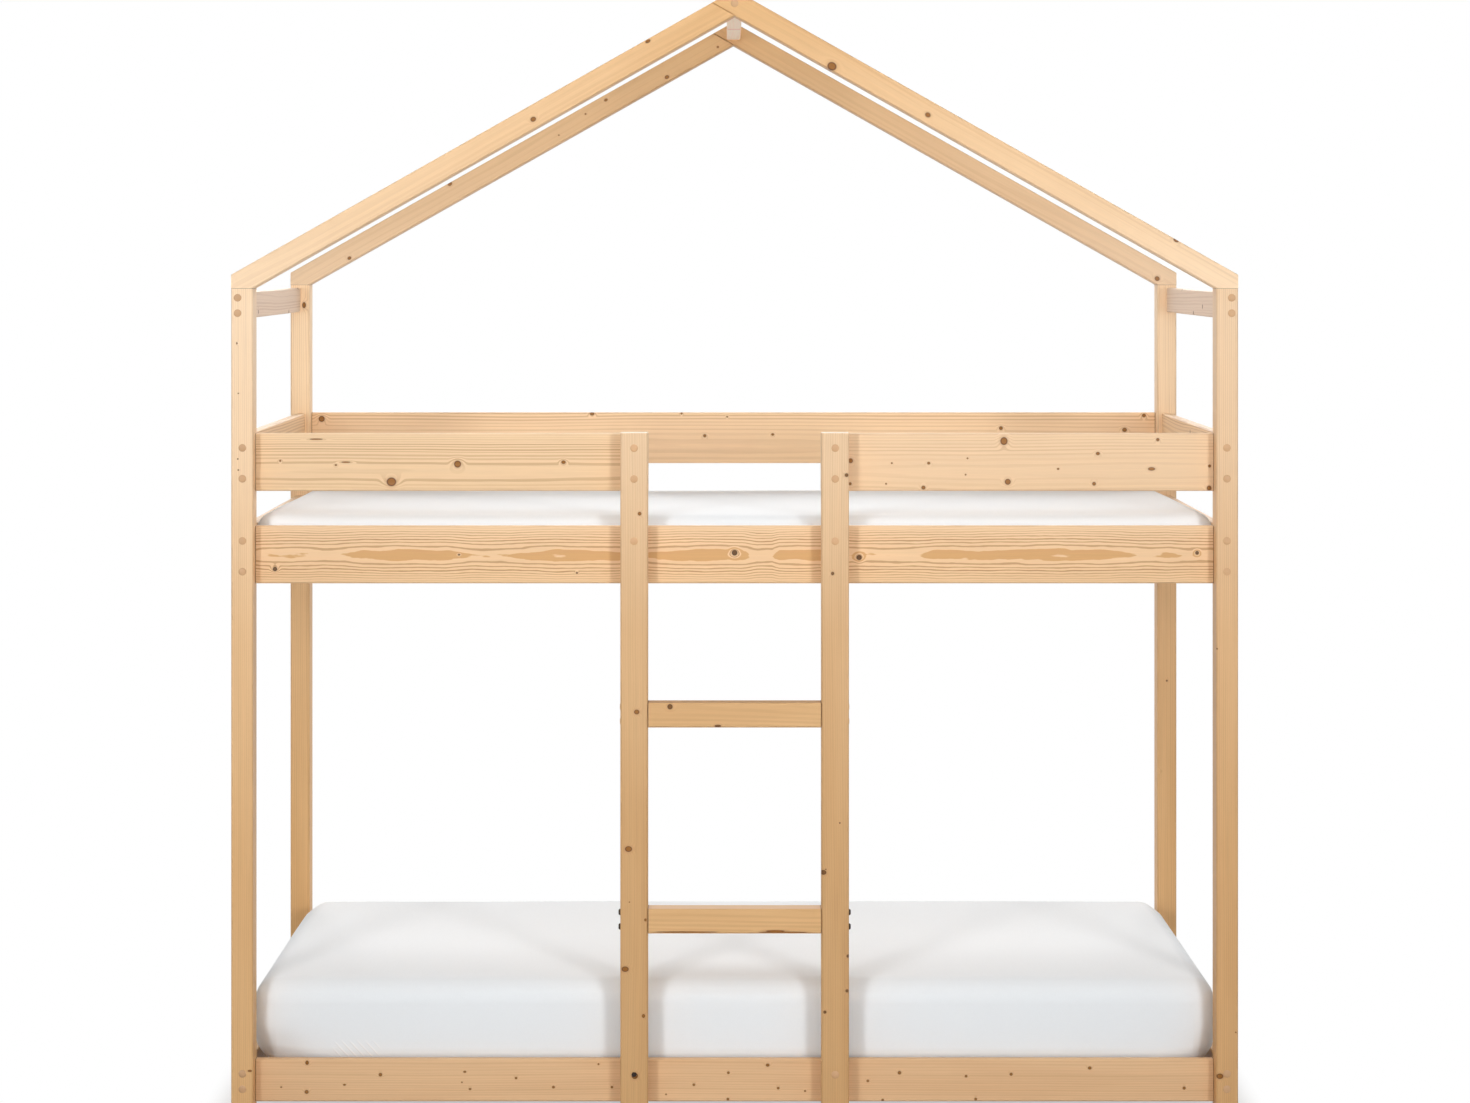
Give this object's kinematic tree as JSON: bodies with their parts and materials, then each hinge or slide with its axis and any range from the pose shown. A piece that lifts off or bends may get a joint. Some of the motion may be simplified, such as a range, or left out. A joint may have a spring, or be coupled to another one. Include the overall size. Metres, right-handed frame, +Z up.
{
  "type": "house bunk bed",
  "caption": "Pine bunk bed shaped like a house, with an open gable roof, guard boards, a fixed front ladder and two slatted berths with mattresses.",
  "frame": {"origin": "on the floor, under the middle of the whole bed", "axes": "+X along the bed to the right seen from the ladder, +Y from the ladder towards the back, +Z up"},
  "size_m": [2.0932, 0.9912, 2.3438],
  "materials": {
    "pine": "clear matt lacquer",
    "pale_pine": "clear matt lacquer",
    "cap_plastic": "satin",
    "zinc_steel": "zinc plated",
    "dark_steel": "black oxide",
    "mattress_foam": "knitted cover over foam",
    "white_cotton": "smooth cotton jersey"
  },
  "bodies": {
    "bed_frame": {"barrel_nuts": "zinc_steel", "bolt_caps": "cap_plastic", "end_board_bolts": "zinc_steel", "guard_back": "pine", "guard_end_left": "pine", "guard_end_right": "pine", "guard_front_left": "pine", "guard_front_right": "pine", "ladder_bolts": "dark_steel", "ladder_rung_lower": "pine", "ladder_rung_upper": "pine", "ladder_upright_left": "pine", "ladder_upright_right": "pine", "long_board_bolts": "zinc_steel", "lower_ledge_back": "pine", "lower_ledge_front": "pine", "lower_rail_back": "pine", "lower_rail_end_left": "pine", "lower_rail_end_right": "pine", "lower_rail_front": "pine", "lower_slats": "pine", "post_back_left": "pine", "post_back_right": "pine", "post_front_left": "pine", "post_front_right": "pine", "rafter_back_left": "pine", "rafter_back_right": "pine", "rafter_dowels": "pine", "rafter_front_left": "pine", "rafter_front_right": "pine", "ridge_bar": "pale_pine", "ridge_bolts": "zinc_steel", "rung_bolts": "dark_steel", "sleeve_nuts": "zinc_steel", "top_crossbar_left": "pale_pine", "top_crossbar_right": "pale_pine", "upper_ledge_back": "pine", "upper_ledge_front": "pine", "upper_rail_back": "pine", "upper_rail_end_left": "pine", "upper_rail_end_right": "pine", "upper_rail_front": "pine", "upper_slats": "pine"},
    "upper_bedding": {"upper_mattress": "mattress_foam", "upper_sheet": "white_cotton"},
    "lower_bedding": {"lower_mattress": "mattress_foam", "lower_sheet": "white_cotton"}
  },
  "joints": [
    {"name": "upper_bedding_lift", "type": "slide", "parent": "bed_frame", "child": "upper_bedding", "axis": [0, 0, 1], "range_m": [0, 0.3]},
    {"name": "lower_bedding_lift", "type": "slide", "parent": "bed_frame", "child": "lower_bedding", "axis": [0, 0, 1], "range_m": [0, 0.3]}
  ]
}
